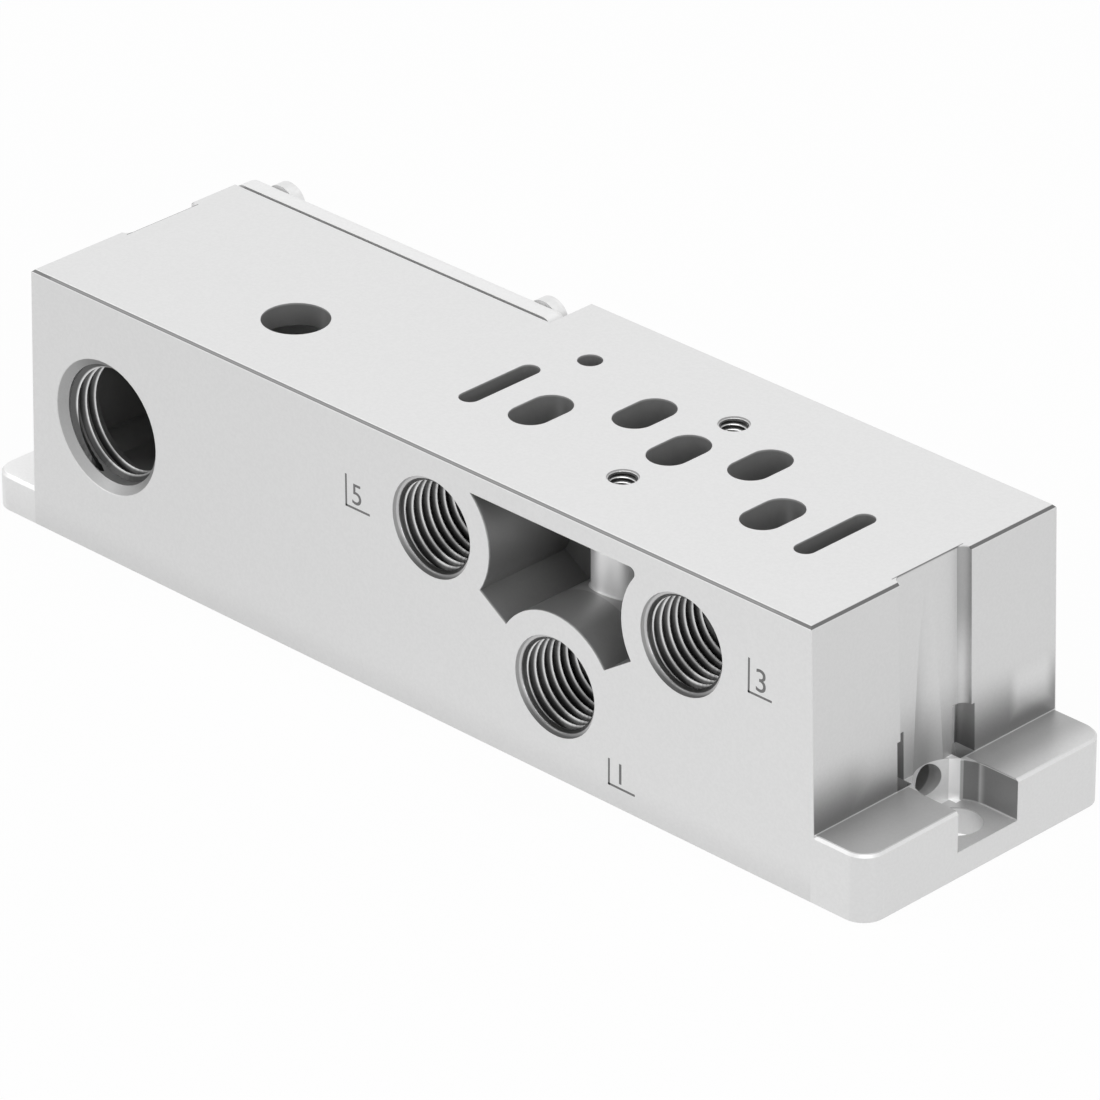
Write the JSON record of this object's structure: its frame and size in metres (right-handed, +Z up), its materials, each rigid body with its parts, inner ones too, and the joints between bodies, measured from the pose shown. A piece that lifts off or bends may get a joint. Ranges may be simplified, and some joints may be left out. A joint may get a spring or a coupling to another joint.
{
  "type": "pneumatic valve subbase",
  "caption": "Low aluminium block on two slotted feet that carries a solenoid valve on its flat top and leads its air slots to threaded side ports, with a covered wiring compartment.",
  "frame": {"origin": "middle of the flat underside", "axes": "+X along the block towards the high-pad foot, -Y out of the front ports, +Z up to the valve face"},
  "size_m": [0.15, 0.042, 0.036],
  "materials": {
    "casting": "satin, fine blasted",
    "seal": "matt",
    "screw_steel": "bright zinc"
  },
  "bodies": {
    "root": {"subbase_body": "casting", "rear_cover": "casting", "cover_seal": "seal", "cover_screw_1": "screw_steel", "cover_screw_2": "screw_steel", "cover_screw_3": "screw_steel", "cover_screw_4": "screw_steel"}
  },
  "joints": []
}
